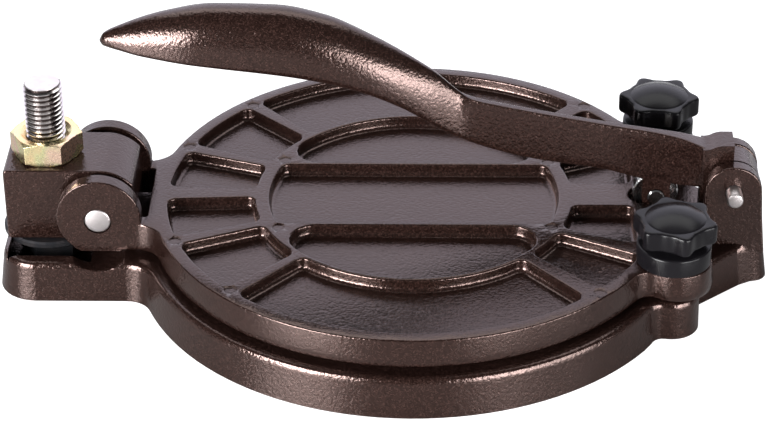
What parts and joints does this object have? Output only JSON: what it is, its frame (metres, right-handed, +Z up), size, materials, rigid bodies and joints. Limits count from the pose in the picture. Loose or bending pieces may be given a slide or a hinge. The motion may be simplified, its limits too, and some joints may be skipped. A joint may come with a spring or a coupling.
{
  "type": "tortilla press",
  "caption": "Round hinged press of coated cast metal with a ribbed lid, a roller lever that clamps it shut, star-knob stops and an adjustable hinge height.",
  "frame": {"origin": "where the plates' common axis meets the base's flat underside", "axes": "+X from the plates' axis towards the lever's pivot, -X towards the lid's hinge, +Z up"},
  "size_m": [0.374, 0.272, 0.1394],
  "materials": {
    "bronze_coat": "hammered bronze-brown powder coat on die-cast aluminium",
    "bright_steel": "bright turned steel",
    "yellow_zinc": "yellow passivated zinc plate",
    "black_oxide": "black oxide",
    "knob_black": "satin black moulded plastic",
    "bearing_steel": "polished bearing steel"
  },
  "bodies": {
    "base": {"base_plate": "bronze_coat", "hinge_stud": "bright_steel", "lever_pin": "bright_steel"},
    "block": {"hinge_block": "bronze_coat", "support_washer": "black_oxide", "hinge_pin": "bright_steel"},
    "top_nut": {"top_nut": "yellow_zinc"},
    "lower_nut": {"lower_nut": "black_oxide"},
    "lid": {"lid_plate": "bronze_coat", "stop_ring_front": "knob_black", "stop_ring_rear": "knob_black"},
    "screw_front": {"knob_screw_front": "bright_steel"},
    "screw_rear": {"knob_screw_rear": "bright_steel"},
    "knob_front": {"knob_front": "knob_black"},
    "knob_rear": {"knob_rear": "knob_black"},
    "lever": {"lever": "bronze_coat", "roller_pin": "bright_steel", "roller_inner_ring": "bearing_steel"},
    "roller": {"roller_outer_ring": "bearing_steel", "roller_shield_front": "bearing_steel", "roller_shield_rear": "bearing_steel", "roller_balls": "bearing_steel"}
  },
  "joints": [
    {"name": "height", "type": "slide", "parent": "base", "child": "block", "axis": [0, 0, 1], "range_m": [-0.0011, 0]},
    {"name": "top_nut_spin", "type": "hinge", "parent": "block", "child": "top_nut", "pos_m": [-0.1777, 0, 0.0598], "axis": [0, 0, 1], "range_deg": [-156, 0]},
    {"name": "lower_nut_spin", "type": "hinge", "parent": "block", "child": "lower_nut", "pos_m": [-0.1777, 0, 0.0076], "axis": [0, 0, 1], "range_deg": [-156, 0]},
    {"name": "lid_hinge", "type": "hinge", "parent": "block", "child": "lid", "pos_m": [-0.1515, 0, 0.0382], "axis": [0, -1, 0], "range_deg": [0, 100]},
    {"name": "stop_front", "type": "slide", "parent": "lid", "child": "screw_front", "axis": [0, 0, 1], "range_m": [0, 0.01]},
    {"name": "stop_rear", "type": "slide", "parent": "lid", "child": "screw_rear", "axis": [0, 0, 1], "range_m": [0, 0.01]},
    {"name": "knob_front_spin", "type": "hinge", "parent": "screw_front", "child": "knob_front", "pos_m": [0.1225, -0.0579, 0.0465], "axis": [0, 0, 1], "range_deg": [0, 2401]},
    {"name": "knob_rear_spin", "type": "hinge", "parent": "screw_rear", "child": "knob_rear", "pos_m": [0.1225, 0.0579, 0.0465], "axis": [0, 0, 1], "range_deg": [0, 2401]},
    {"name": "lever_pivot", "type": "hinge", "parent": "base", "child": "lever", "pos_m": [0.154, 0, 0.0468], "axis": [0, 1, 0], "range_deg": [0, 165]},
    {"name": "roller_spin", "type": "hinge", "parent": "lever", "child": "roller", "pos_m": [0.1174, 0, 0.0393], "axis": [0, 1, 0], "continuous": true}
  ],
  "couplings": [
    {"joint": "top_nut_spin", "follows": "height", "rad_per_m": 2473.7},
    {"joint": "lower_nut_spin", "follows": "height", "rad_per_m": 2473.7},
    {"joint": "lid_hinge", "follows": "lever_pivot", "ratio": 0.12},
    {"joint": "knob_front_spin", "follows": "stop_front", "rad_per_m": 4188.8},
    {"joint": "knob_rear_spin", "follows": "stop_rear", "rad_per_m": 4188.8}
  ]
}
